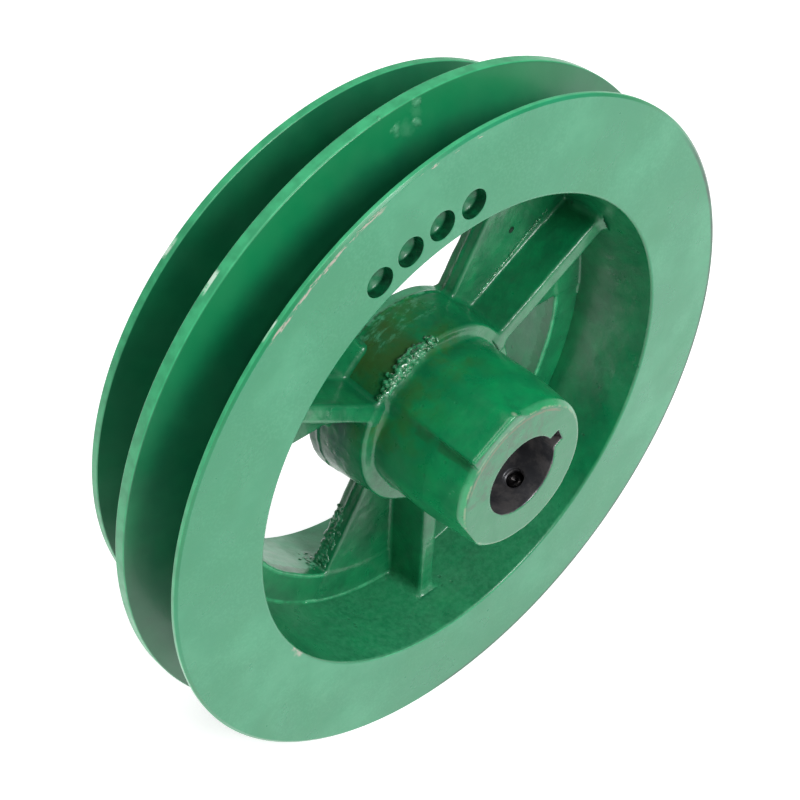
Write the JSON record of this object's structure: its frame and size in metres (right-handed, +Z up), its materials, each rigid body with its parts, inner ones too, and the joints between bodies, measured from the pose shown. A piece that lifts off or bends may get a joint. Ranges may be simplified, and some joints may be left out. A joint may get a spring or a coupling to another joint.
{
  "type": "v belt pulley",
  "caption": "Two-groove stepped V-belt pulley with ribbed spokes, a long keyed hub and a set screw.",
  "frame": {"origin": "centre of the bore's front mouth, in the plane of the hub's front face", "axes": "+Y runs along the bore from the hub face towards the rear flange, +Z up, one spoke points down"},
  "size_m": [0.21, 0.0716, 0.21],
  "materials": {
    "green_paint": "satin",
    "screw_steel": "satin"
  },
  "bodies": {
    "pulley": {"front_flange": "green_paint", "front_groove_floor": "green_paint", "middle_flange": "green_paint", "web_ring": "green_paint", "rear_groove_floor": "green_paint", "rear_flange": "green_paint", "spoke_right": "green_paint", "spoke_left": "green_paint", "spoke_lower": "green_paint", "rib_right": "green_paint", "rib_left": "green_paint", "rib_lower": "green_paint", "hub_boss": "green_paint", "hub_barrel": "green_paint", "plain_pad": "green_paint", "screw_pad": "green_paint", "root_fillet": "green_paint", "ledge_bead": "green_paint"},
    "screw": {"set_screw": "screw_steel"}
  },
  "joints": [
    {"name": "set_screw_slide", "type": "slide", "parent": "pulley", "child": "screw", "axis": [-0.5, 0, 0.866], "range_m": [-0.006, 0.001]}
  ]
}
